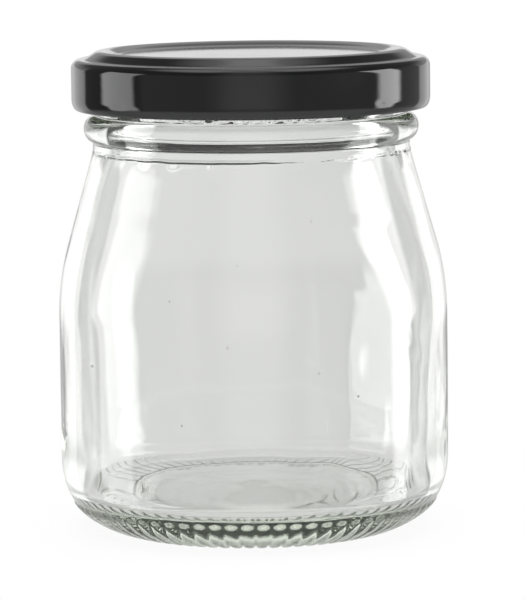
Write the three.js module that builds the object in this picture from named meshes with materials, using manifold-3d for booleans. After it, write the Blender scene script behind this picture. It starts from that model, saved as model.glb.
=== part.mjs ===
// A clear glass jar with a black twist-off cap, empty and closed, in millimetres with +Z up.
// The origin is the centre of the base, on the surface that the jar stands on.
import * as THREE from "three";
import { mergeVertices, toCreasedNormals } from "three/addons/utils/BufferGeometryUtils.js";
import Module from "manifold-3d";

const wasm = await Module();
wasm.setup();

// Overall sizes
const TOTAL_HEIGHT = 88;
const CAP_HEIGHT = 10.7;
const CAP_RADIUS = 32.85;
const BODY_RADIUS = 35.75;
const CAP_BOTTOM_Z = TOTAL_HEIGHT - CAP_HEIGHT;
const JAR_FACETS = 72; // round the outside of the glass
const HOLLOW_FACETS = 36; // round the inside of the glass
const CAP_FACETS = 44; // round the cap
const CREASE_ANGLE = Math.PI / 6;

// Heel: a full curve from the upright wall down to the bearing ring
const HEEL_HEIGHT = 14.1;
const HEEL_SPREAD = 16.6; // how far inwards the curve would run if it went on to the floor
const HEEL_POWER = 2.53; // 2 is an ellipse, more is fuller
const HEEL_STEPS = 6;

// Base: a ring that carries the ribs, and a push-up inside it
const BEARING_OUTER = 25.3;
const BEARING_INNER = 23.6;
const BEARING_Z = 0.45; // height of the ring between the ribs
const PUSH_UP_EDGE = 22.9;
const PUSH_UP_EDGE_Z = 0.6;
const PUSH_UP_Z = 2.6; // height of the underside at the middle

// Ribs that the jar stands on, laid like spokes and running up the heel
const RIB_COUNT = JAR_FACETS; // one in the middle of each facet
const RIB_WIDTH = 1.5;
const RIB_HEIGHT = 0.3; // out of the heel
const RIB_START = 23.8;
const RIB_CREST_END = 25.6;
const RIB_RUN_Z = [2.1, 4.7]; // heights where the rib stands out of the heel
const RIB_TOP_Z = 5.4; // where it has run out
const RIB_ROOT = 1.4; // how deep in the glass a rib is rooted

// Shoulder: a cone from the wall to the neck, blended into the wall by a large arc
const SHOULDER_CORNER_Z = 46.3; // where cone and wall would meet
const SHOULDER_TOP_Z = 69.7;
const NECK_RADIUS = 29.05;
const SHOULDER_BLEND = 50;
const BLEND_STEPS = 3;

// Neck: a rounded bead below the cap, then the upright mouth
const BEAD_Z = 73.85;
const BEAD_RADIUS = 30.7;
const BEAD_HALF_HEIGHT = 2.35;
const BEAD_STEPS = 6;
const MOUTH_RADIUS = 28.75;
const MOUTH_BORE = 26.2;
const RIM_ROUND = 1.2;
const RIM_DROP = 0.8; // from the cap's crest down to the glass rim under it
const RIM_Z = TOTAL_HEIGHT - RIM_DROP;
const ROUND_STEPS = 3;

// Inside of the jar
const WALL = 2.6;
const LOW_WALL = 3.35; // the glass is thicker just above the heel
const LOW_WALL_Z = 17.5;
const FLOOR_Z = 7.1; // at the middle
const FLOOR_EDGE_Z = 6.6; // at the crease round the raised middle, and outside it
const FLOOR_EDGE = 23.9;
const INNER_HEEL_RADIUS = 31.7; // where the inside corner turns into the wall
const INNER_HEEL_ROUND = 2.2;

// Screw ribs on the mouth and the bumps that stop the cap
const LUG_COUNT = 4;
const LUG_ANGLE = THREE.MathUtils.degToRad(45);
const THREAD_SPAN = THREE.MathUtils.degToRad(56);
const THREAD_RADIUS = 1.45; // of its round section
const THREAD_CENTRE = 29.4;
const THREAD_LOW_Z = CAP_BOTTOM_Z + 3.6;
const THREAD_RISE = 2.7;
const THREAD_STEPS = 6;
const THREAD_SIDES = 8;
const STOP_SIZE = new THREE.Vector3(1.7, 4.2, 1.5); // half sizes: radial, along the rim, upright
const STOP_CENTRE = 28.3;
const STOP_Z = CAP_BOTTOM_Z + 0.7;
const STOP_LAG = THREE.MathUtils.degToRad(-4.5);

// Cap: pressed sheet metal with a rolled lower edge
const SHEET = 0.4;
const CURL_RADIUS = 0.95;
const CURL_STEPS = 6;
const CAP_SHOULDER_ROUND = 1.65;
const NOTCH_RADIUS = 30.6; // the crease between the shoulder and the raised ring
const NOTCH_Z = 9.2; // heights on the cap are from its lower edge
const RING_RADIUS = 27.4; // the raised ring's highest circle
const PANEL_EDGE = 23.7;
const PANEL_Z = 9.9;
const LUG_SPAN = THREE.MathUtils.degToRad(16);
const LUG_INNER = 30.35;
const LUG_BOTTOM = 0.25;
const LUG_HEIGHT = 1.2;

const glass = new THREE.MeshStandardMaterial({
  color: 0xdde3df,
  roughness: 0.03,
  metalness: 0,
  transparent: true,
  opacity: 0.35,
});
const lacquer = new THREE.MeshStandardMaterial({ color: 0x17181a, roughness: 0.12, metalness: 0 });

// A closed geometry as a solid that can be joined, with its shared corners merged.
function solid(geometry) {
  const bare = new THREE.BufferGeometry();
  bare.setAttribute("position", geometry.getAttribute("position").clone());
  bare.setIndex(geometry.getIndex());
  const merged = mergeVertices(bare, 1e-4);
  const corners = merged.getIndex().array;
  const triVerts = [];
  for (let i = 0; i < corners.length; i += 3) {
    const [a, b, c] = corners.slice(i, i + 3);
    if (a !== b && b !== c && c !== a) triVerts.push(a, b, c);
  }
  const vertProperties = merged.getAttribute("position").array;
  return new wasm.Manifold(
    new wasm.Mesh({ numProp: 3, vertProperties, triVerts: new Uint32Array(triVerts) }),
  );
}

function geometryOf(made) {
  const { vertProperties, triVerts } = made.getMesh();
  const geometry = new THREE.BufferGeometry();
  geometry.setAttribute("position", new THREE.BufferAttribute(vertProperties, 3));
  geometry.setIndex(new THREE.BufferAttribute(triVerts, 1));
  return toCreasedNormals(geometry, CREASE_ANGLE);
}

function join(first, others) {
  return others.reduce((made, other) => made.add(solid(other)), solid(first));
}

// A profile of radius and height, turned about the Z axis.
function turned(profile, facets) {
  return new THREE.LatheGeometry(profile, facets).rotateX(Math.PI / 2);
}

function at(radius, z) {
  return new THREE.Vector2(radius, z);
}

function curve(steps, pointAt) {
  return Array.from({ length: steps + 1 }, (_, i) => pointAt(i / steps));
}

function arc(centreRadius, centreZ, radius, fromDeg, toDeg, steps) {
  return curve(steps, (t) => {
    const angle = THREE.MathUtils.degToRad(THREE.MathUtils.lerp(fromDeg, toDeg, t));
    return at(centreRadius + radius * Math.cos(angle), centreZ + radius * Math.sin(angle));
  });
}

// A corner between an upright wall and a floor, as part of a quarter of a superellipse.
function roundedCorner(wallRadius, floorZ, spread, height, power, fromTurn, steps) {
  return curve(steps, (t) => {
    const turn = THREE.MathUtils.lerp(fromTurn, Math.PI / 2, t);
    const out = Math.sin(turn) ** (2 / power);
    const up = 1 - Math.cos(turn) ** (2 / power);
    return at(wallRadius - spread * (1 - out), floorZ + height * up);
  });
}

// The same profile moved to its left by a distance, as the other face of a sheet or wall.
function offset(profile, distance) {
  return profile.map((point, i) => {
    const before = profile[Math.max(i - 1, 0)];
    const after = profile[Math.min(i + 1, profile.length - 1)];
    const along = after.clone().sub(before).normalize();
    return at(Math.max(point.x - along.y * distance, 0), point.y + along.x * distance);
  });
}

// Shoulder from the top of the wall to the foot of the neck.
function shoulderProfile() {
  const slope = Math.atan2(BODY_RADIUS - NECK_RADIUS, SHOULDER_TOP_Z - SHOULDER_CORNER_Z);
  const tangent = SHOULDER_BLEND * Math.tan(slope / 2);
  const blend = arc(
    BODY_RADIUS - SHOULDER_BLEND,
    SHOULDER_CORNER_Z - tangent,
    SHOULDER_BLEND,
    0,
    THREE.MathUtils.radToDeg(slope),
    BLEND_STEPS,
  );
  return [...blend, at(NECK_RADIUS, SHOULDER_TOP_Z)];
}

function beadProfile() {
  return curve(BEAD_STEPS, (t) => {
    const turn = THREE.MathUtils.lerp(-Math.PI / 2, Math.PI / 2, t);
    const root = THREE.MathUtils.lerp(NECK_RADIUS, MOUTH_RADIUS, t);
    return at(root + (BEAD_RADIUS - root) * Math.cos(turn), BEAD_Z + BEAD_HALF_HEIGHT * Math.sin(turn));
  });
}

// The turn at which such a corner is a given distance in from its wall.
function cornerTurn(inwards, spread, power) {
  return Math.asin((1 - inwards / spread) ** (power / 2));
}

// Radius of the heel's outer face at a height.
function heelRadius(z) {
  const out = (1 - (1 - z / HEEL_HEIGHT) ** HEEL_POWER) ** (1 / HEEL_POWER);
  return BODY_RADIUS - HEEL_SPREAD * (1 - out);
}

// The inside corner, from the crease in the floor up to the wall.
function innerHeelProfile() {
  const centreRadius = INNER_HEEL_RADIUS - INNER_HEEL_ROUND;
  const centreZ = FLOOR_EDGE_Z + INNER_HEEL_ROUND;
  return [
    at(FLOOR_EDGE, FLOOR_EDGE_Z),
    ...arc(centreRadius, centreZ, INNER_HEEL_ROUND, -90, 0, ROUND_STEPS + 1),
    at(BODY_RADIUS - LOW_WALL, LOW_WALL_Z),
  ];
}

// The jar's outside, from the middle of the underside to the middle of the mouth.
function outsideProfile() {
  const heelStart = cornerTurn(BODY_RADIUS - BEARING_OUTER, HEEL_SPREAD, HEEL_POWER);
  return [
    at(0, PUSH_UP_Z),
    at(PUSH_UP_EDGE / 2, PUSH_UP_Z - (PUSH_UP_Z - PUSH_UP_EDGE_Z) / 4),
    at(PUSH_UP_EDGE, PUSH_UP_EDGE_Z),
    at(BEARING_INNER, BEARING_Z),
    ...roundedCorner(BODY_RADIUS, 0, HEEL_SPREAD, HEEL_HEIGHT, HEEL_POWER, heelStart, HEEL_STEPS),
    ...shoulderProfile(),
    ...beadProfile(),
    ...arc(MOUTH_RADIUS - RIM_ROUND, RIM_Z - RIM_ROUND, RIM_ROUND, 0, 90, ROUND_STEPS),
    at(0, RIM_Z),
  ];
}

// The jar's hollow, from the middle of its floor to above the mouth.
function hollowProfile() {
  const aboveRim = RIM_Z + 1;
  return [
    at(0, FLOOR_Z),
    ...innerHeelProfile(),
    ...offset(shoulderProfile(), WALL).slice(0, -1),
    at(MOUTH_BORE, SHOULDER_TOP_Z),
    ...arc(MOUTH_BORE + RIM_ROUND, RIM_Z - RIM_ROUND, RIM_ROUND, 180, 90, ROUND_STEPS),
    at(MOUTH_BORE + RIM_ROUND, aboveRim),
    at(0, aboveRim),
  ];
}

// One rib from under the base to its end on the heel, drawn from the side and given its width.
function baseRib(angle) {
  const run = RIB_RUN_Z.map((z) => at(heelRadius(z), z));
  const side = new THREE.Shape([
    at(RIB_START, 0),
    at(RIB_CREST_END, 0),
    ...offset(run, -RIB_HEIGHT),
    at(heelRadius(RIB_TOP_Z), RIB_TOP_Z),
    at(heelRadius(RIB_TOP_Z) - RIB_ROOT, RIB_TOP_Z),
    at(RIB_START, RIB_ROOT),
  ]);
  return new THREE.ExtrudeGeometry(side, { depth: RIB_WIDTH, bevelEnabled: false })
    .translate(0, 0, -RIB_WIDTH / 2)
    .rotateX(Math.PI / 2)
    .rotateZ(angle);
}

// The line that one screw rib follows, rising to the right.
class ThreadLine extends THREE.Curve {
  constructor(angle) {
    super();
    this.angle = angle;
  }

  getPoint(t) {
    const angle = this.angle + THREAD_SPAN * t;
    return new THREE.Vector3(
      THREAD_CENTRE * Math.cos(angle),
      THREAD_CENTRE * Math.sin(angle),
      THREAD_LOW_Z + THREAD_RISE * t,
    );
  }
}

function threadRib(angle) {
  const section = new THREE.Shape(
    curve(THREAD_SIDES - 1, (t) => {
      const turn = (2 * Math.PI * t * (THREAD_SIDES - 1)) / THREAD_SIDES;
      return at(THREAD_RADIUS * Math.cos(turn), THREAD_RADIUS * Math.sin(turn));
    }),
  );
  return new THREE.ExtrudeGeometry(section, {
    steps: THREAD_STEPS,
    extrudePath: new ThreadLine(angle),
  });
}

function stopBump(angle) {
  return new THREE.SphereGeometry(1, 10, 8)
    .scale(STOP_SIZE.x, STOP_SIZE.y, STOP_SIZE.z)
    .translate(STOP_CENTRE, 0, STOP_Z)
    .rotateZ(angle);
}

function lugAngles() {
  return Array.from({ length: LUG_COUNT }, (_, i) => LUG_ANGLE + (i * 2 * Math.PI) / LUG_COUNT);
}

function jar() {
  const ribStep = (2 * Math.PI) / RIB_COUNT;
  const ribs = Array.from({ length: RIB_COUNT }, (_, i) => baseRib((i + 0.5) * ribStep));
  const threads = lugAngles().map((angle) => threadRib(angle - LUG_SPAN / 2));
  const stops = lugAngles().map((angle) => stopBump(angle + STOP_LAG));
  const block = join(turned(outsideProfile(), JAR_FACETS), [...ribs, ...threads, ...stops]);
  return geometryOf(block.subtract(solid(turned(hollowProfile(), HOLLOW_FACETS))));
}

// Outer face of the cap from the middle of its panel to the end of the rolled edge.
function capOuterProfile() {
  const ringTop = CAP_HEIGHT;
  const shoulderZ = NOTCH_Z - CAP_SHOULDER_ROUND;
  return [
    at(0, PANEL_Z),
    at(PANEL_EDGE, PANEL_Z),
    at(PANEL_EDGE + 0.7, PANEL_Z + 0.12),
    at(PANEL_EDGE + 1.5, ringTop - 0.3),
    at(PANEL_EDGE + 2.3, ringTop - 0.08),
    at(RING_RADIUS, ringTop),
    at(RING_RADIUS + 0.9, ringTop - 0.2),
    at(NOTCH_RADIUS - 0.5, NOTCH_Z + 0.18),
    at(NOTCH_RADIUS, NOTCH_Z),
    ...arc(CAP_RADIUS - CAP_SHOULDER_ROUND, shoulderZ, CAP_SHOULDER_ROUND, 90, 0, ROUND_STEPS + 1),
  ];
}

function capProfile() {
  const outer = capOuterProfile();
  const curl = arc(CAP_RADIUS - CURL_RADIUS, CURL_RADIUS, CURL_RADIUS, 0, -270, CURL_STEPS);
  const inner = offset(outer, -SHEET).reverse();
  inner[inner.length - 1].x = 0;
  return [...outer, ...curl, at(CAP_RADIUS - SHEET, 2.4 * CURL_RADIUS), ...inner].reverse();
}

// A short tongue folded in from the rolled edge.
function capLug(angle) {
  const outerRadius = CAP_RADIUS - CURL_RADIUS;
  const tongue = new THREE.Shape();
  tongue.absarc(0, 0, outerRadius, -LUG_SPAN / 2, LUG_SPAN / 2, false);
  tongue.absarc(0, 0, LUG_INNER, LUG_SPAN / 3, -LUG_SPAN / 3, true);
  return new THREE.ExtrudeGeometry(tongue, { depth: LUG_HEIGHT, bevelEnabled: false, curveSegments: 3 })
    .translate(0, 0, LUG_BOTTOM)
    .rotateZ(angle);
}

function cap() {
  return geometryOf(join(turned(capProfile(), CAP_FACETS), lugAngles().map(capLug)));
}

function piece(name, geometry, material) {
  const mesh = new THREE.Mesh(geometry, material);
  mesh.name = name;
  return mesh;
}

const closedJar = new THREE.Group();
const capPiece = piece("cap", cap(), lacquer);
capPiece.position.z = CAP_BOTTOM_Z;
closedJar.add(piece("jar", jar(), glass), capPiece);

export default closedJar;
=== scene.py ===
"""An empty glass jar closed by a black twist-off cap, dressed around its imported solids."""

import math
import random

import bmesh
import bpy
from mathutils import Matrix, Vector, noise


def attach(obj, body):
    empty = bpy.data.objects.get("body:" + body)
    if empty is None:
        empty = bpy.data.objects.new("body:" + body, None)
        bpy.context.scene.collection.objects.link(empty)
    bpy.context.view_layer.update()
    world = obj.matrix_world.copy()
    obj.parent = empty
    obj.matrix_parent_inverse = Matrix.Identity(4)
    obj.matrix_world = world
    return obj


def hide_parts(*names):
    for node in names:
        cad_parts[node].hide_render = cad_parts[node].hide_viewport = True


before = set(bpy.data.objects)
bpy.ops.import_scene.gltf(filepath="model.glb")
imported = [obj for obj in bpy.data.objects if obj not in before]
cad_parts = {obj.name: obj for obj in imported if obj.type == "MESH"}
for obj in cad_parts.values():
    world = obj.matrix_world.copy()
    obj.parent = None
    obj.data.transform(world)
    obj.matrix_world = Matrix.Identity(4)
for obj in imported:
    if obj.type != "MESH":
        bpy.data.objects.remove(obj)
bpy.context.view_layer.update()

bl_info = {
    "name": "Glass jar with twist cap",
    "version": (1, 0, 0),
    "blender": (4, 5, 0),
    "location": "View3D > Sidebar > Jar",
    "description": "Builds a clear glass jar, its black metal cap and a pale stage",
    "category": "Add Mesh",
}

MM = 0.001
PICTURE_HEIGHT = 600
RIB_COUNT = 72
LUG_COUNT = 4
FIRST_LUG = math.radians(45.0)

# steps round the axis, which are spun as one wedge that is then copied round
WEDGES = 16
OUTSIDE_STEPS = 6 * RIB_COUNT
INSIDE_STEPS = 288
CAP_STEPS = 288

# low relief on the outer face of the glass
SEAM_HEIGHT = 0.7 * MM
SEAM_WIDTH = 0.26 * MM
SEAM_WANDER = 0.15 * MM
SEAM_WHOLE_AT = math.radians(-112.0)
GROOVE_DEPTH = 0.1 * MM
GROOVE_WIDTH = 0.22 * MM
MOUTH_MARKS = 0.25 * MM
MOUTH_MARKS_AT = math.radians(-92.0)
OUTSIDE_WANDER = 0.04 * MM
UNDERSIDE_WAVE = 0.04 * MM

# screw ribs and stops: turns in degrees from a lug, heights from the cap's lower edge
SCREW_START = -8.0
SCREW_SPAN = 56.0
SCREW_LOW = 3.6 * MM
SCREW_RISE = 2.7 * MM
SCREW_HALF_HEIGHT = 1.45 * MM
SCREW_REACH = 2.05 * MM
STOP_AT = -4.5
STOP_SPREAD = 8.0
STOP_Z = 0.7 * MM
STOP_HALF_HEIGHT = 1.6 * MM
STOP_REACH = 1.2 * MM

# uneven flow on the inner face: places in degrees and in millimetres of height, then depths
FLOW_TURN, FLOW_SPREAD = -50.0, 48.0
BACK_FLOW_TURN, BACK_FLOW_SPREAD = 46.0, 26.0
BACK_FLOW = 0.14 * MM
LUMP_TURN, LUMP_SPREAD = -49.0, 13.0
LUMP_Z, LUMP_HALF_HEIGHT = 35.0, 17.0
LUMP_LEAN, LUMP_LEAN_Z = 0.2, 34.0
LUMP = 0.42 * MM
STREAK_TURN, STREAK_Z = -69.0, 54.0
STREAK_HALF_WIDTH = 1.6
STREAK_LENGTH = 28.0
STREAK = 0.12 * MM
GRAIN = 0.012 * MM
NECK_WAVE = 0.06 * MM
FLOOR_WAVE = 0.08 * MM

# bubbles in the wall: a scatter, and larger ones in the front wall
# with their turn in degrees, height and radius in millimetres
SEED_COUNT = 60
SEED_DRAW = 11
FRONT_SEEDS = (
    (-145.7, 32.5, 0.26),
    (-58.2, 28.0, 0.24),
    (-114.8, 45.5, 0.16),
    (-111.3, 23.5, 0.2),
    (-97.5, 37.5, 0.16),
)

# low relief on the cap
LUG_FOLD = 0.75 * MM
DENT_DEPTH = 0.09 * MM
DENT_Z = 2.1 * MM
DENT_HALF_HEIGHT = 0.45 * MM
DENT_HALF_TURN = 2.2
CAP_WANDER = 0.025 * MM
PANEL_WAVE = 0.04 * MM

# the two tall lights: level, then for the near and the far edge the turn from the front in
# degrees, the lean with height, the flare below the camera's level and the softness in degrees
LEFT_LIGHT = (2.95, (80.5, 0.3, 0.9, 2.0), (110.0, 0.17, 1.85, 2.5))
RIGHT_LIGHT = (4.8, (90.0, 0.6, 0.0, 3.0), (110.5, 0.2, 1.8, 3.0))
LEAN_FROM = -4.0
FLARE_LIMIT = 3.5

# levels of the other light
SIDE_SWEEP = 1.15
BACK_SWEEP, BACK_SKY, BACK_TILT = 0.745, 0.255, 0.3
ROOM, ROOM_CENTRE = 0.36, 0.4
LEFT_GAP, RIGHT_GAP_MORE = 0.12, 0.2
CEILING, CEILING_IN_LINE, CEILING_TOP, CEILING_BESIDE = 0.16, 0.75, 1.1, 0.9


def length(name, description, millimetres):
    return bpy.props.FloatProperty(
        name=name, description=description, default=millimetres * MM, unit="LENGTH", precision=5
    )


def amount(name, description, value):
    return bpy.props.FloatProperty(name=name, description=description, default=value, min=0.0)


def angle(name, description, degrees):
    return bpy.props.FloatProperty(
        name=name,
        description=description,
        default=math.radians(degrees),
        subtype="ANGLE",
        unit="ROTATION",
    )


def colour(name, description, value):
    return bpy.props.FloatVectorProperty(
        name=name, description=description, default=value, size=4, subtype="COLOR", min=0.0, max=1.0
    )


class JarSizes(bpy.types.PropertyGroup):
    """Sizes of the glass jar."""

    body_radius: length("Body radius", "Outside radius of the upright wall", 35.75)
    wall: length("Wall", "Thickness of the glass", 2.6)
    low_wall: length("Low wall", "Thickness of the glass just above the heel", 3.35)
    low_wall_z: length("Low wall height", "Where that thickness is measured", 17.5)
    heel_height: length("Heel height", "Height at which the heel has turned into the wall", 14.1)
    heel_spread: length("Heel spread", "How far inwards the heel would run on the floor", 16.6)
    heel_power: amount("Heel power", "Two is an ellipse, more is fuller", 2.53)
    bearing_outer: length("Bearing outer radius", "Where the heel meets the bearing ring", 25.3)
    bearing_inner: length("Bearing inner radius", "Inner edge of the bearing ring", 24.3)
    bearing_z: length("Bearing height", "Height of the ring between the ribs", 0.45)
    push_up_edge: length("Push-up edge", "Radius of the hollow under the base", 23.8)
    push_up_edge_z: length("Push-up edge height", "Height of the hollow at its edge", 0.6)
    push_up_z: length("Push-up height", "Height of the hollow at the middle", 0.9)
    rib_height: length("Rib height", "How far a base rib stands out of the heel", 0.3)
    rib_half_width: length("Rib half width", "Half the width of a rib at half its height", 0.86)
    rib_top_z: length("Rib top", "Height at which the round end of a base rib is centred", 4.75)
    shoulder_corner_z: length("Shoulder corner", "Height where cone and wall would meet", 46.3)
    shoulder_top_z: length("Shoulder top", "Height where the cone meets the neck", 69.7)
    shoulder_blend: length("Shoulder blend", "Radius of the arc between wall and cone", 50.0)
    neck_radius: length("Neck radius", "Outside radius under the bead", 29.05)
    bead_z: length("Bead height", "Height of the middle of the bead", 73.85)
    bead_radius: length("Bead radius", "Largest radius of the bead", 30.7)
    bead_half_height: length("Bead half height", "Half of the bead's height", 2.35)
    mouth_radius: length("Mouth radius", "Outside radius under the cap", 28.75)
    bore: length("Bore", "Inside radius of the mouth", 26.2)
    rim_z: length("Rim height", "Height of the rim", 87.2)
    rim_round: length("Rim rounding", "Radius of the rim's two edges", 1.2)
    floor_z: length("Floor height", "Height of the inside floor at the middle", 7.1)
    floor_edge_z: length("Floor edge height", "Height of the crease round the inside floor", 6.6)
    floor_edge: length("Floor edge", "Radius of the crease round the inside floor", 23.9)
    inner_heel: length("Inner heel", "Radius where the inside corner turns into the wall", 31.7)
    inner_heel_round: length("Inner heel rounding", "Radius of the inside corner", 2.2)
    wave: length("Wave", "Unevenness of the inside of the glass", 0.3)


class CapSizes(bpy.types.PropertyGroup):
    """Sizes of the metal cap. Heights on it are from its lower edge."""

    bottom_z: length("Lower edge", "Height of the cap's lower edge", 77.3)
    height: length("Height", "From the lower edge to the raised ring's crest", 10.7)
    radius: length("Radius", "Outside radius of the skirt", 32.85)
    sheet: length("Sheet", "Thickness of the metal", 0.4)
    curl: length("Curl", "Radius of the rolled lower edge", 0.95)
    tuck: length("Tuck", "Height over which the skirt is drawn in to the lower edge", 2.1)
    shoulder_round: length("Shoulder rounding", "Radius between skirt and top", 1.65)
    notch: length("Notch", "Radius of the crease round the raised ring", 30.6)
    notch_z: length("Notch height", "Height of that crease", 9.2)
    ring: length("Ring", "Radius of the raised ring's crest", 27.4)
    panel: length("Panel", "Radius of the sunk flat panel", 23.7)
    panel_z: length("Panel height", "Height of the flat panel", 9.9)


class JarLooks(bpy.types.PropertyGroup):
    """Colours and finishes."""

    glass: colour("Glass", "Clear glass", (0.994, 0.996, 0.994, 1.0))
    glass_shade: colour("Glass shade", "Faint cloudiness in the glass", (0.982, 0.986, 0.982, 1.0))
    glass_body: colour("Glass body", "Cast where the glass is deep", (0.8, 0.87, 0.74, 1.0))
    glass_depth: amount("Glass depth", "How fast the cast builds up, per metre", 18.0)
    lacquer: colour("Lacquer", "Black lacquer", (0.0075, 0.0076, 0.0085, 1.0))
    lacquer_worn: colour("Handled lacquer", "Faintly dusty lacquer", (0.016, 0.016, 0.017, 1.0))
    floor: colour("Floor", "Pale floor", (0.9, 0.9, 0.9, 1.0))
    floor_glow: amount("Floor glow", "Light that comes up through the floor", 0.5)
    floor_cover: amount("Floor cover", "Share of the light from below that is held back", 0.15)


class JarStage(bpy.types.PropertyGroup):
    """Camera and light."""

    distance: length("Distance", "From the camera to the jar's axis", 700.0)
    height: length("Height", "Of the camera above the floor", 128.5)
    aside: length("Aside", "How far right of the axis the camera stands", 1.71)
    pitch: angle("Pitch", "How far the camera looks down", 7.07)
    roll: angle("Roll", "How far the camera leans", -0.66)
    focal_pixels: amount("Focal length", "In pixels of a picture 600 high", 3826.0)
    floor_radius: length("Floor radius", "Where the floor has faded into the sweep", 95.0)


class Socket:
    """A shader value that sums and products can be written with."""

    def __init__(self, shader, link):
        self.shader = shader
        self.link = link

    def maths(self, operation, *values):
        return self.shader.node("ShaderNodeMath", {"operation": operation}, dict(enumerate(values)))

    def __add__(self, other):
        return self.maths("ADD", self, other)

    def __radd__(self, other):
        return self.maths("ADD", other, self)

    def __sub__(self, other):
        return self.maths("SUBTRACT", self, other)

    def __rsub__(self, other):
        return self.maths("SUBTRACT", other, self)

    def __mul__(self, other):
        return self.maths("MULTIPLY", self, other)

    def __rmul__(self, other):
        return self.maths("MULTIPLY", other, self)

    def __abs__(self):
        return self.maths("ABSOLUTE", self)

    def __neg__(self):
        return self.maths("MULTIPLY", self, -1.0)


class Shader:
    """A node tree that is written as expressions."""

    def __init__(self, owner):
        owner.use_nodes = True
        self.tree = owner.node_tree
        self.tree.nodes.clear()

    def node(self, kind, settings=None, sockets=None, output=0):
        made = self.tree.nodes.new(kind)
        for name, value in (settings or {}).items():
            setattr(made, name, value)
        for name, value in (sockets or {}).items():
            if isinstance(value, Socket):
                self.tree.links.new(value.link, made.inputs[name])
            else:
                made.inputs[name].default_value = value
        return Socket(self, made.outputs[output]) if made.outputs else None

    def step(self, value, start, stop):
        """Rises smoothly from 0 at start to 1 at stop."""
        return self.node(
            "ShaderNodeMapRange",
            {"interpolation_type": "SMOOTHSTEP"},
            {"Value": value, "From Min": start, "From Max": stop},
        )

    def mix_colours(self, share, first, second):
        return self.node(
            "ShaderNodeMix", {"data_type": "RGBA"}, {0: share, 6: first, 7: second}, output=2
        )

    def noise(self, coordinates, scale, detail=2.0, roughness=0.5):
        return self.node(
            "ShaderNodeTexNoise",
            None,
            {"Vector": coordinates, "Scale": scale, "Detail": detail, "Roughness": roughness},
        )

    def object_coordinates(self):
        return self.node("ShaderNodeTexCoord", output="Object")

    def stretched(self, coordinates, scale):
        return self.node("ShaderNodeMapping", None, {"Vector": coordinates, "Scale": scale})


def glass_material(looks):
    material = bpy.data.materials.new("clear_glass")
    shader = Shader(material)
    place = shader.object_coordinates()
    cloud = shader.step(shader.noise(place, 60.0, 3.0), 0.45, 0.75)
    drawn_out = shader.stretched(place, (1.0, 1.0, 0.35))
    smear = shader.step(shader.noise(drawn_out, 180.0, 4.0), 0.56, 0.8)
    ripple = shader.noise(shader.stretched(place, (1.0, 1.0, 0.5)), 210.0, 1.0)
    bump = shader.node(
        "ShaderNodeBump", None, {"Strength": 0.12, "Distance": 0.0002, "Height": ripple}
    )
    surface = shader.node(
        "ShaderNodeBsdfPrincipled",
        None,
        {
            "Base Color": shader.mix_colours(cloud, looks.glass[:], looks.glass_shade[:]),
            "Roughness": 0.004 + 0.02 * smear,
            "IOR": 1.52,
            "Transmission Weight": 1.0,
            "Normal": bump,
        },
    )
    depth = shader.node(
        "ShaderNodeVolumeAbsorption",
        None,
        {"Color": looks.glass_body[:], "Density": looks.glass_depth},
    )
    shader.node("ShaderNodeOutputMaterial", None, {"Surface": surface, "Volume": depth})
    return material


def lacquer_material(looks):
    material = bpy.data.materials.new("black_lacquer")
    shader = Shader(material)
    place = shader.object_coordinates()
    handled = shader.step(shader.noise(place, 55.0, 5.0, 0.6), 0.48, 0.78)
    grain = shader.noise(place, 1500.0, 2.0)
    orange_peel = shader.noise(place, 420.0, 1.0)
    height = orange_peel + 0.2 * grain
    bump = shader.node(
        "ShaderNodeBump", None, {"Strength": 0.06, "Distance": 0.0001, "Height": height}
    )
    surface = shader.node(
        "ShaderNodeBsdfPrincipled",
        None,
        {
            "Base Color": shader.mix_colours(handled, looks.lacquer[:], looks.lacquer_worn[:]),
            "Roughness": 0.05 + 0.05 * handled + 0.03 * grain,
            "IOR": 1.52,
            "Normal": bump,
        },
    )
    shader.node("ShaderNodeOutputMaterial", None, {"Surface": surface})
    return material


def floor_material(looks, radius):
    material = bpy.data.materials.new("pale_floor")
    shader = Shader(material)
    place = shader.object_coordinates()
    from_axis = shader.node(
        "ShaderNodeVectorMath", {"operation": "LENGTH"}, {0: place}, output="Value"
    )
    fade = 1.0 - looks.floor_cover * (1.0 - shader.step(from_axis, 0.45 * radius, radius))
    mottle = shader.noise(place, 40.0, 3.0)
    shade = [0.97 * value for value in looks.floor[:3]] + [1.0]
    surface = shader.node(
        "ShaderNodeBsdfPrincipled",
        None,
        {
            "Base Color": shader.mix_colours(mottle, looks.floor[:], shade),
            "Roughness": 0.7 + 0.1 * mottle,
            "Specular IOR Level": 0.2,
            "Emission Color": looks.floor[:],
            "Emission Strength": looks.floor_glow,
        },
    )
    clear = shader.node("ShaderNodeBsdfTransparent")
    mixed = shader.node("ShaderNodeMixShader", None, {0: fade, 1: surface, 2: clear})
    shader.node("ShaderNodeOutputMaterial", None, {"Surface": mixed})
    return material


def smooth(value, start, stop):
    share = min(max((value - start) / (stop - start), 0.0), 1.0)
    return share * share * (3.0 - 2.0 * share)


def bell(value, half_width):
    return 1.0 - smooth(abs(value), 0.0, half_width)


def mix(first, second, share):
    return first + (second - first) * share


def turn_between(first, second):
    """The signed angle from one angle to another, within half a turn."""
    return (second - first + math.pi) % (2.0 * math.pi) - math.pi


def point(radius, z):
    return Vector((radius, z))


def arc(centre, radius, start, stop, steps):
    turns = [math.radians(mix(start, stop, i / steps)) for i in range(steps + 1)]
    return [centre + radius * point(math.cos(turn), math.sin(turn)) for turn in turns]


def rounded_corner(wall, floor, spread, height, power, start, steps):
    """A corner between an upright wall and a floor, as part of a superellipse."""
    made = []
    for i in range(steps + 1):
        turn = mix(start, math.pi / 2.0, i / steps)
        out = math.sin(turn) ** (2.0 / power)
        up = 1.0 - math.cos(turn) ** (2.0 / power)
        made.append(point(wall - spread * (1.0 - out), floor + height * up))
    return made


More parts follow.
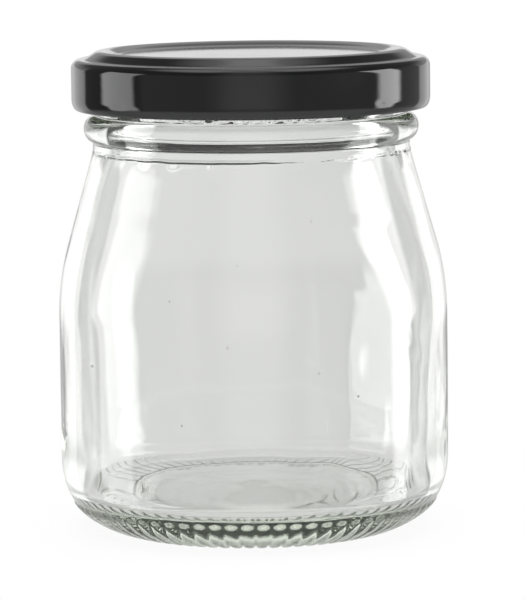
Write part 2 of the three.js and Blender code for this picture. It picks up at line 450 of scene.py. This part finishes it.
def finely(points, spacing):
    """The same line with its long stretches divided."""
    made = [points[0]]
    for first, second in zip(points, points[1:]):
        count = max(1, math.ceil((second - first).length / spacing))
        made += [first.lerp(second, (i + 1) / count) for i in range(count)]
    return made


def eased(points, passes):
    """The same line with its corners softened and its ends kept."""
    for _ in range(passes):
        inner = [(a + 2.0 * b + c) / 4.0 for a, b, c in zip(points, points[1:], points[2:])]
        points = [points[0], *inner, points[-1]]
    return points


def offset(points, distance):
    """The same line moved to its left, as the other face of a sheet or wall."""
    made = []
    for i, here in enumerate(points):
        along = (points[min(i + 1, len(points) - 1)] - points[max(i - 1, 0)]).normalized()
        made.append(point(max(here.x - along.y * distance, 0.0), here.y + along.x * distance))
    return made


def spin_line(bm, line, steps, marks):
    """Spins a line of points about the Z axis. Each vertex takes its point's mark."""
    mark = bm.verts.layers.int.get("inner") or bm.verts.layers.int.new("inner")
    known = set(bm.verts)
    verts = [bm.verts.new((here.x, 0.0, here.y)) for here in line]
    for vert, value in zip(verts, marks):
        vert[mark] = value
    edges = [bm.edges.new(pair) for pair in zip(verts, verts[1:])]
    bmesh.ops.spin(
        bm,
        geom=verts + edges,
        cent=(0.0, 0.0, 0.0),
        axis=(0.0, 0.0, 1.0),
        dvec=(0.0, 0.0, 0.0),
        angle=2.0 * math.pi / WEDGES,
        steps=steps // WEDGES,
        use_merge=False,
        use_duplicate=False,
    )
    wedges = 1
    while wedges < WEDGES:
        fresh = [vert for vert in bm.verts if vert not in known]
        edges = dict.fromkeys(edge for vert in fresh for edge in vert.link_edges)
        faces = dict.fromkeys(face for vert in fresh for face in vert.link_faces)
        copied = bmesh.ops.duplicate(bm, geom=[*fresh, *edges, *faces])["geom"]
        bmesh.ops.rotate(
            bm,
            cent=(0.0, 0.0, 0.0),
            matrix=Matrix.Rotation(2.0 * math.pi * wedges / WEDGES, 3, "Z"),
            verts=[part for part in copied if isinstance(part, bmesh.types.BMVert)],
        )
        wedges *= 2
    fresh = [vert for vert in bm.verts if vert not in known]
    bmesh.ops.remove_doubles(bm, verts=fresh, dist=1e-3 * MM)
    return mark


def face_outwards(bm):
    bmesh.ops.recalc_face_normals(bm, faces=bm.faces)
    bm.normal_update()


def finish_piece(name, bm, material, node):
    mesh = bpy.data.meshes.new(name)
    bm.to_mesh(mesh)
    bm.free()
    mesh.shade_smooth()
    mesh.materials.append(material)
    piece = bpy.data.objects.new(name, mesh)
    bpy.context.scene.collection.objects.link(piece)
    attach(piece, "root")
    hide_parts(node)
    return piece


def shoulder_line(jar):
    inwards = jar.body_radius - jar.neck_radius
    slope = math.atan2(inwards, jar.shoulder_top_z - jar.shoulder_corner_z)
    tangent = jar.shoulder_blend * math.tan(slope / 2.0)
    centre = point(jar.body_radius - jar.shoulder_blend, jar.shoulder_corner_z - tangent)
    blend = arc(centre, jar.shoulder_blend, 0.0, math.degrees(slope), 10)
    return blend + [point(jar.neck_radius, jar.shoulder_top_z)]


def bead_line(jar):
    made = []
    for i in range(23):
        share = i / 22
        turn = mix(-math.pi / 2.0, math.pi / 2.0, share)
        root = mix(jar.neck_radius, jar.mouth_radius, share)
        out = root + (jar.bead_radius - root) * math.cos(turn)
        made.append(point(out, jar.bead_z + jar.bead_half_height * math.sin(turn)))
    return made


def corner_turn(inwards, spread, power):
    """The turn at which a rounded corner is a given distance in from its wall."""
    return math.asin((1.0 - inwards / spread) ** (power / 2.0))


def outside_line(jar):
    """The outer face from the middle of the underside to the rim."""
    drop = jar.push_up_z - jar.push_up_edge_z
    hollow = [
        point(jar.push_up_edge * i / 16, jar.push_up_z - drop * (i / 16) ** 2) for i in range(17)
    ]
    ring = [point(jar.bearing_inner, jar.bearing_z), point(jar.bearing_outer, jar.bearing_z)]
    step = eased(finely(hollow[-1:] + ring, 0.25 * MM), 2)
    heel_start = corner_turn(jar.body_radius - jar.bearing_outer, jar.heel_spread, jar.heel_power)
    heel = rounded_corner(
        jar.body_radius, 0.0, jar.heel_spread, jar.heel_height, jar.heel_power, heel_start, 40
    )
    shoulder = shoulder_line(jar)
    before_top = shoulder[-1].lerp(shoulder[-2], 0.03)
    above_top = point(jar.neck_radius, jar.shoulder_top_z + 0.6 * MM)
    body = finely([heel[-1], *shoulder[:-1], before_top], 3.0 * MM)
    seam = finely([before_top, shoulder[-1], above_top], 0.1 * MM)
    neck = eased(finely([above_top, *bead_line(jar)], 0.35 * MM), 2)
    rim_centre = point(jar.mouth_radius - jar.rim_round, jar.rim_z - jar.rim_round)
    rim = arc(rim_centre, jar.rim_round, 0.0, 90.0, 5)
    under_cap = point(jar.mouth_radius, neck[-1].y + 1.6 * MM)
    mouth = finely([neck[-1], under_cap], 0.25 * MM)[:-1] + finely([under_cap, rim[0]], 0.7 * MM)
    stretches = (hollow, step, heel, body, seam, neck, mouth)
    return [here for stretch in stretches for here in stretch[:-1]] + rim


def inside_line(jar):
    """The inner face from the rim to the middle of the floor."""
    rim_centre = point(jar.bore + jar.rim_round, jar.rim_z - jar.rim_round)
    rim = arc(rim_centre, jar.rim_round, 90.0, 180.0, 5)
    bore = finely([rim[-1], point(jar.bore, jar.shoulder_top_z)], 0.8 * MM)
    shoulder = offset(shoulder_line(jar), jar.wall)[:-1][::-1]
    low_wall = point(jar.body_radius - jar.low_wall, jar.low_wall_z)
    centre = point(jar.inner_heel - jar.inner_heel_round, jar.floor_edge_z + jar.inner_heel_round)
    corner = arc(centre, jar.inner_heel_round, 0.0, -90.0, 12)
    wall = eased(finely([bore[-1], *shoulder, low_wall, corner[0]], 1.4 * MM), 3)
    crease = point(jar.floor_edge, jar.floor_edge_z)
    ledge = finely([corner[-1], crease], 0.8 * MM)
    floor = finely([crease, point(0.0, jar.floor_z)], 1.4 * MM)
    return rim + bore[1:] + wall[1:] + corner[1:] + ledge[1:] + floor[1:]


def rib_share(jar, turn, radius, z):
    """1 on the crest of a base rib, 0 between two ribs and past the round end of a rib."""
    from_crest = abs((turn * RIB_COUNT / (2.0 * math.pi)) % 1.0 - 0.5)
    across = from_crest * 2.0 * math.pi * radius / RIB_COUNT
    past = 1.45 * max(0.0, z - jar.rib_top_z)
    side = smooth(math.hypot(across, past), 0.62 * jar.rib_half_width, 1.38 * jar.rib_half_width)
    return (1.0 - side) * smooth(radius, jar.bearing_inner - 0.1 * MM, jar.bearing_inner + 0.3 * MM)


def shape_outside(jar, cap_bottom, vert):
    """Base ribs, parting line, screw ribs and stops on the outer face."""
    radius = math.hypot(vert.co.x, vert.co.y)
    turn = math.atan2(vert.co.y, vert.co.x)
    z = vert.co.z
    if radius > jar.bearing_inner - 0.2 * MM and z < 7.0 * MM:
        height = mix(1.05 * jar.bearing_z, jar.rib_height, smooth(z, 0.5 * MM, 2.0 * MM))
        vert.co += vert.normal * height * rib_share(jar, turn, radius, z)
        vert.co.z = max(vert.co.z, 0.0)
        return
    if z < 3.0 * MM:
        inner_part = 1.0 - smooth(radius, 15.0 * MM, 22.0 * MM)
        vert.co.z += UNDERSIDE_WAVE * noise.noise(vert.co * 55.0) * inner_part
        return
    swell = seam_swell(turn, z - jar.shoulder_top_z)
    from_groove = z - jar.bead_z - jar.bead_half_height
    swell -= GROOVE_DEPTH * math.exp(-((from_groove / GROOVE_WIDTH) ** 2))
    if z > cap_bottom - 2.0 * MM:
        swell += screw_swell(turn, z - cap_bottom)
        front = bell(turn_between(MOUTH_MARKS_AT, turn), math.radians(45.0))
        marked = front * bell(z - cap_bottom + 0.6 * MM, 1.7 * MM)
        swell += MOUTH_MARKS * marked * noise.noise(vert.co * 1300.0)
    wander = OUTSIDE_WANDER * noise.noise(vert.co * 90.0) * smooth(z, 7.0 * MM, 20.0 * MM)
    vert.co.xy *= (radius + swell + wander) / radius if radius > MM else 1.0


def seam_swell(turn, z):
    """How far the parting line stands out: whole at the front left, broken elsewhere."""
    front_left = bell(turn_between(SEAM_WHOLE_AT, turn), math.radians(50.0))
    long_breaks = noise.noise(Vector((7.0 * turn, 2.0, 0.0)))
    short_breaks = noise.noise(Vector((30.0 * turn, 0.0, 0.0)))
    broken = 0.4 * long_breaks + 0.2 * short_breaks
    unbroken = 0.15 + 0.7 * front_left + (1.0 - front_left) * broken
    from_seam = z - SEAM_WANDER * noise.noise(Vector((9.0 * turn, 5.0, 0.0)))
    share = min(max(unbroken, 0.0), 1.0)
    return SEAM_HEIGHT * share * math.exp(-((from_seam / SEAM_WIDTH) ** 2))


def screw_swell(turn, z):
    """How far the screw ribs and the cap's stops stand out of the mouth."""
    swell = 0.0
    for i in range(LUG_COUNT):
        lug = FIRST_LUG + i * 2.0 * math.pi / LUG_COUNT
        along = math.degrees(turn_between(lug, turn))
        share = (along - SCREW_START) / SCREW_SPAN
        ends = smooth(share, -0.06, 0.06) * (1.0 - smooth(share, 0.94, 1.06))
        height = z - SCREW_LOW - SCREW_RISE * share
        section = max(0.0, 1.0 - (height / SCREW_HALF_HEIGHT) ** 2) ** 0.5
        stop = bell(along - STOP_AT, STOP_SPREAD) * bell(z - STOP_Z, STOP_HALF_HEIGHT)
        swell = max(swell, SCREW_REACH * ends * section, STOP_REACH * stop)
    return swell


def shape_inside(jar, vert):
    """The slow, uneven flow of the glass on the inner face, strongest at the front right."""
    place = vert.co
    radius = math.hypot(place.x, place.y)
    turn = math.degrees(math.atan2(place.y, place.x))
    z = place.z / MM
    right = bell(turn - FLOW_TURN, FLOW_SPREAD)
    slow = noise.noise(Vector((place.x * 55.0, place.y * 55.0, place.z * 26.0 + 3.1)))
    fold = noise.noise(Vector((place.x * 140.0, place.y * 140.0, place.z * 38.0 + 7.7)))
    grain = noise.noise(Vector((place.x * 620.0, place.y * 620.0, place.z * 260.0)))
    below_neck = 1.0 - smooth(z, 62.0, 72.0)
    swell = jar.wave * below_neck * ((0.14 + 0.8 * right) * slow + (0.06 + 0.75 * right) * fold)
    swell += GRAIN * below_neck * right * grain
    back_right = bell(turn - BACK_FLOW_TURN, BACK_FLOW_SPREAD)
    swell += BACK_FLOW * below_neck * back_right * (fold + 0.5 * slow)
    lump_turn = LUMP_TURN - LUMP_LEAN * (z - LUMP_LEAN_Z)
    swell += LUMP * bell(turn - lump_turn, LUMP_SPREAD) * bell(z - LUMP_Z, LUMP_HALF_HEIGHT)
    swell += streak_swell(turn, z)
    neck = smooth(z, 68.0, 72.0) * (1.0 - smooth(z, 80.0, 84.0))
    neck_noise = noise.noise(Vector((place.x * 500.0, place.y * 500.0, place.z * 900.0)))
    swell += neck * NECK_WAVE * neck_noise
    if radius < jar.inner_heel - jar.inner_heel_round:
        swell = FLOOR_WAVE * (noise.noise(place * 60.0) + 0.15 * noise.noise(place * 230.0))
    vert.co += vert.normal * swell


def streak_swell(turn, z):
    """A thin streak that slants down to the right over the front of the inner face."""
    aside, above = 0.58 * (turn - STREAK_TURN), z - STREAK_Z
    along, across = 0.73 * aside - 0.68 * above, 0.68 * aside + 0.73 * above
    ends = smooth(along, 0.0, 4.0) * (1.0 - smooth(along, STREAK_LENGTH, STREAK_LENGTH + 5.0))
    return STREAK * bell(across, STREAK_HALF_WIDTH) * ends


def add_seeds(bm, jar):
    """Small gas bubbles caught in the wall, as closed hollows in the glass."""
    draw = random.Random(SEED_DRAW)
    slope = (jar.body_radius - jar.neck_radius) / (jar.shoulder_top_z - jar.shoulder_corner_z)
    places = []
    for _ in range(SEED_COUNT):
        turn, z = draw.uniform(0.0, 2.0 * math.pi), mix(18.0 * MM, 66.0 * MM, draw.random())
        places.append((turn, z, mix(0.05, 0.17, draw.random() ** 3) * MM))
    places += [(math.radians(turn), z * MM, size * MM) for turn, z, size in FRONT_SEEDS]
    seeds = bmesh.new()
    for turn, z, size in places:
        outside = min(jar.body_radius, jar.body_radius - slope * (z - jar.shoulder_corner_z))
        radius = outside - mix(0.9, 1.5, draw.random()) * MM
        centre = Matrix.Translation((radius * math.cos(turn), radius * math.sin(turn), z))
        bmesh.ops.create_icosphere(seeds, subdivisions=1, radius=size, matrix=centre)
    bmesh.ops.reverse_faces(seeds, faces=seeds.faces)
    mesh = bpy.data.meshes.new("seeds")
    seeds.to_mesh(mesh)
    seeds.free()
    bm.from_mesh(mesh)
    bpy.data.meshes.remove(mesh)


def cap_outer_line(cap):
    """From the middle of the panel to the foot of the skirt."""
    top = cap.height
    shoulder = point(cap.radius - cap.shoulder_round, cap.notch_z - cap.shoulder_round)
    crown = [
        point(0.0, cap.panel_z),
        point(cap.panel - 0.6 * MM, cap.panel_z),
        point(cap.panel, cap.panel_z),
        point(cap.panel + 0.7 * MM, cap.panel_z + 0.12 * MM),
        point(cap.panel + 1.5 * MM, top - 0.3 * MM),
        point(cap.panel + 2.3 * MM, top - 0.06 * MM),
        point(cap.ring, top + 0.04 * MM),
        point(cap.ring + 0.95 * MM, top - 0.16 * MM),
        point(cap.notch - 0.45 * MM, cap.notch_z + 0.17 * MM),
        point(cap.notch, cap.notch_z - 0.05 * MM),
        point(cap.notch + 0.35 * MM, cap.notch_z),
    ]
    fine = finely(crown[:2], 2.0 * MM)[:-1] + eased(finely(crown[1:], 0.16 * MM), 5)
    return fine[:-1] + arc(shoulder, cap.shoulder_round, 84.0, 0.0, 12)


def cap_profile(cap):
    outer = cap_outer_line(cap)
    skirt = finely([outer[-1], point(cap.radius, cap.tuck)], 0.35 * MM)
    quarter = arc(point(0.0, 1.0), 1.0, 0.0, -90.0, 14)
    tuck = [point(cap.radius - cap.curl * (1.0 - on.x), on.y * cap.tuck) for on in quarter]
    curl_centre = point(cap.radius - cap.curl, cap.curl)
    curl = tuck + arc(curl_centre, cap.curl, -90.0, -270.0, 14)[1:]
    inner = offset(outer, -cap.sheet)[::-1]
    inner[-1].x = 0.0
    inner_skirt = finely([point(cap.radius - cap.sheet, 2.4 * cap.curl), inner[0]], 0.8 * MM)
    outside = outer + skirt[1:] + curl[1:]
    return outside + inner_skirt + inner[1:], len(outside)


def shape_cap(cap, vert, is_inner):
    """Lugs folded in from the rolled edge, the dents they leave, and slight unevenness."""
    radius = math.hypot(vert.co.x, vert.co.y)
    turn = math.atan2(vert.co.y, vert.co.x)
    z = vert.co.z
    shift = 0.0
    for i in range(LUG_COUNT):
        lug = FIRST_LUG + i * 2.0 * math.pi / LUG_COUNT
        along = math.degrees(turn_between(lug, turn))
        if z < 2.1 * cap.curl and radius < cap.radius - 0.55 * cap.curl:
            inward = smooth(cap.radius - 0.5 * cap.curl - radius, 0.0, 1.2 * cap.curl)
            shift -= LUG_FOLD * inward * (1.0 - smooth(abs(along), 6.0, 9.0))
        if radius > cap.radius - 0.3 * MM and not is_inner:
            across, above = along / DENT_HALF_TURN, (z - DENT_Z) / DENT_HALF_HEIGHT
            shift -= DENT_DEPTH * math.exp(-(across**2) - above**2)
    wander = CAP_WANDER * noise.noise(Vector((vert.co.x * 70.0, vert.co.y * 70.0, z * 120.0)))
    if radius > MM:
        vert.co.xy *= (radius + shift + wander) / radius
    if radius < cap.panel:
        vert.co.z += PANEL_WAVE * noise.noise(Vector((vert.co.x * 45.0, vert.co.y * 45.0, 5.0)))


class JAR_OT_glass(bpy.types.Operator):
    """Build the clear glass jar"""

    bl_idname = "jar.glass"
    bl_label = "Glass jar"

    def execute(self, context):
        jar = context.scene.jar_sizes
        cap = context.scene.cap_sizes
        bm = bmesh.new()
        outside, inside = outside_line(jar), inside_line(jar)
        spin_line(bm, outside, OUTSIDE_STEPS, [0] * len(outside))
        inner = spin_line(bm, inside, INSIDE_STEPS, [1] * len(inside))
        rims = [edge for edge in bm.edges if edge.is_boundary]
        bmesh.ops.bridge_loops(bm, edges=rims)
        face_outwards(bm)
        for vert in bm.verts:
            if vert[inner]:
                shape_inside(jar, vert)
            else:
                shape_outside(jar, cap.bottom_z, vert)
        add_seeds(bm, jar)
        material = glass_material(context.scene.jar_looks)
        finish_piece("glass_jar", bm, material, "jar")
        return {"FINISHED"}


class JAR_OT_cap(bpy.types.Operator):
    """Build the black metal twist-off cap"""

    bl_idname = "jar.cap"
    bl_label = "Twist cap"

    def execute(self, context):
        cap = context.scene.cap_sizes
        profile, inner_from = cap_profile(cap)
        bm = bmesh.new()
        marks = [int(i >= inner_from) for i in range(len(profile))]
        inner = spin_line(bm, profile, CAP_STEPS, marks)
        face_outwards(bm)
        for vert in bm.verts:
            shape_cap(cap, vert, vert[inner])
        bmesh.ops.translate(bm, verts=bm.verts, vec=(0.0, 0.0, cap.bottom_z))
        material = lacquer_material(context.scene.jar_looks)
        finish_piece("twist_cap", bm, material, "cap")
        return {"FINISHED"}


def light_edge(shader, turn, up, place, lean, flare, soft):
    """1 past an edge of a tall light that leans above the camera's level and flares below it."""
    rise = up.maths("MAXIMUM", up - LEAN_FROM, 0.0)
    fall = up.maths("MINIMUM", up.maths("MAXIMUM", LEAN_FROM - up, 0.0), FLARE_LIMIT)
    return shader.step(turn - place + lean * rise + flare * fall, -soft, soft)


def tall_light(shader, turn, up, light):
    """A tall soft light between two turns from the front."""
    level, near, far = light
    inside = light_edge(shader, turn, up, *near) * (1.0 - light_edge(shader, turn, up, *far))
    upright = (1.0 - shader.step(up, 18.0, 24.0)) * shader.step(up, -24.0, -11.0)
    return level * upright * inside


def back_sweep(shader, away, up, x):
    """The pale sweep behind the jar, darker below the horizon and higher up."""
    behind = shader.step(away, 159.0, 165.0)
    sky = shader.step(up, 0.2, 3.0)
    middle = BACK_SWEEP + BACK_SKY * sky - BACK_TILT * x
    sweep = SIDE_SWEEP * (1.0 - behind) + middle * behind
    return sweep * (1.0 - 0.48 * shader.step(up, 5.0, 8.0))


def ceiling(shader, away, up, centre):
    """The light from above: a strip in line with the camera, and a wide one overhead."""
    in_line = shader.step(away, 158.0, 172.0) + 0.5 * centre
    beside = shader.step(away, 20.0, 50.0) * (1.0 - shader.step(away, 115.0, 145.0))
    level = CEILING + CEILING_IN_LINE * in_line + CEILING_TOP * shader.step(up, 52.0, 70.0)
    return level + CEILING_BESIDE * shader.step(up, 48.0, 64.0) * beside


def studio_light(world):
    """A pale sweep behind, a dim room in front, and a tall soft light on either side."""
    shader = Shader(world)
    ray = shader.node("ShaderNodeTexCoord", output="Generated")
    split = shader.node("ShaderNodeSeparateXYZ", None, {"Vector": ray})
    x, y, z = (Socket(shader, split.link.node.outputs[name]) for name in "XYZ")
    # turn from the front, to the right, and height above the horizon, in degrees
    side = x.maths("ARCTAN2", x, -y) * math.degrees(1.0)
    up = z.maths("ARCSINE", z) * math.degrees(1.0)
    away = abs(side)

    back = shader.step(-side, 130.0, 135.0) + shader.step(side, 135.5, 140.0)
    ahead = 1.0 - shader.step(away, 6.0, 32.0)
    centre = ahead * (0.4 + 0.6 * shader.step(up, -8.5, -5.0))
    room = ROOM + ROOM_CENTRE * centre
    dark_gap = shader.step(away, 70.0, 80.0) * (1.0 - back)
    gap = LEFT_GAP + RIGHT_GAP_MORE * shader.step(side, 0.0, 1.0)
    around = room * (1.0 - dark_gap) * (1.0 - back) + gap * dark_gap
    around += back_sweep(shader, away, up, x) * back

    high = shader.step(up, 10.0, 26.0)
    low = shader.step(-up, 14.0, 24.0)
    above = around * (1.0 - high) + ceiling(shader, away, up, centre) * high
    above += tall_light(shader, -side, up, LEFT_LIGHT)
    above += tall_light(shader, side, up, RIGHT_LIGHT)
    table = 1.0 - 0.4 * shader.step(away, 70.0, 110.0)
    level = above * (1.0 - low) + table * low

    seen = shader.node("ShaderNodeLightPath", output="Is Camera Ray")
    strength = level * (1.0 - seen) + 1.0 * seen
    background = shader.node(
        "ShaderNodeBackground", None, {"Color": (1.0, 1.0, 1.0, 1.0), "Strength": strength}
    )
    shader.node("ShaderNodeOutputWorld", None, {"Surface": background})


class JAR_OT_stage(bpy.types.Operator):
    """Set the floor, the light and the camera"""

    bl_idname = "jar.stage"
    bl_label = "Stage"

    def execute(self, context):
        scene = context.scene
        stage = scene.jar_stage
        bm = bmesh.new()
        bmesh.ops.create_circle(bm, cap_ends=True, segments=128, radius=1.02 * stage.floor_radius)
        mesh = bpy.data.meshes.new("floor")
        bm.to_mesh(mesh)
        bm.free()
        mesh.materials.append(floor_material(scene.jar_looks, stage.floor_radius))
        floor = bpy.data.objects.new("floor", mesh)
        scene.collection.objects.link(floor)

        scene.world = bpy.data.worlds.new("studio")
        studio_light(scene.world)

        camera_data = bpy.data.cameras.new("camera")
        camera_data.lens = stage.focal_pixels * camera_data.sensor_width / PICTURE_HEIGHT
        camera_data.clip_start = 0.01
        camera = bpy.data.objects.new("camera", camera_data)
        tilt = Matrix.Rotation(math.pi / 2.0 - stage.pitch, 4, "X")
        aim = tilt @ Matrix.Rotation(stage.roll, 4, "Z")
        place = Matrix.Translation((stage.aside, -stage.distance, stage.height))
        camera.matrix_world = place @ aim
        scene.collection.objects.link(camera)
        scene.camera = camera

        scene.view_settings.view_transform = "Standard"
        scene.cycles.max_bounces = 32
        scene.cycles.transmission_bounces = 28
        scene.cycles.glossy_bounces = 16
        scene.cycles.transparent_max_bounces = 16
        return {"FINISHED"}


class JAR_PT_panel(bpy.types.Panel):
    """Lists the jar's pieces and its stage"""

    bl_idname = "JAR_PT_panel"
    bl_label = "Glass jar"
    bl_space_type = "VIEW_3D"
    bl_region_type = "UI"
    bl_category = "Jar"

    def draw(self, context):
        for operator in (JAR_OT_stage, JAR_OT_glass, JAR_OT_cap):
            self.layout.operator(operator.bl_idname)
        for name in SETTINGS:
            settings = getattr(context.scene, name)
            box = self.layout.box()
            for field in settings.bl_rna.properties:
                if not field.is_readonly and field.identifier != "name":
                    box.prop(settings, field.identifier)


SETTINGS = {
    "jar_sizes": JarSizes,
    "cap_sizes": CapSizes,
    "jar_looks": JarLooks,
    "jar_stage": JarStage,
}
CLASSES = (*SETTINGS.values(), JAR_OT_stage, JAR_OT_glass, JAR_OT_cap, JAR_PT_panel)


def register():
    for item in CLASSES:
        bpy.utils.register_class(item)
    for name, group in SETTINGS.items():
        setattr(bpy.types.Scene, name, bpy.props.PointerProperty(type=group))


def unregister():
    for name in SETTINGS:
        delattr(bpy.types.Scene, name)
    for item in reversed(CLASSES):
        bpy.utils.unregister_class(item)


def main():
    register()
    bpy.ops.jar.stage()
    bpy.ops.jar.glass()
    bpy.ops.jar.cap()


if __name__ == "__main__":
    main()
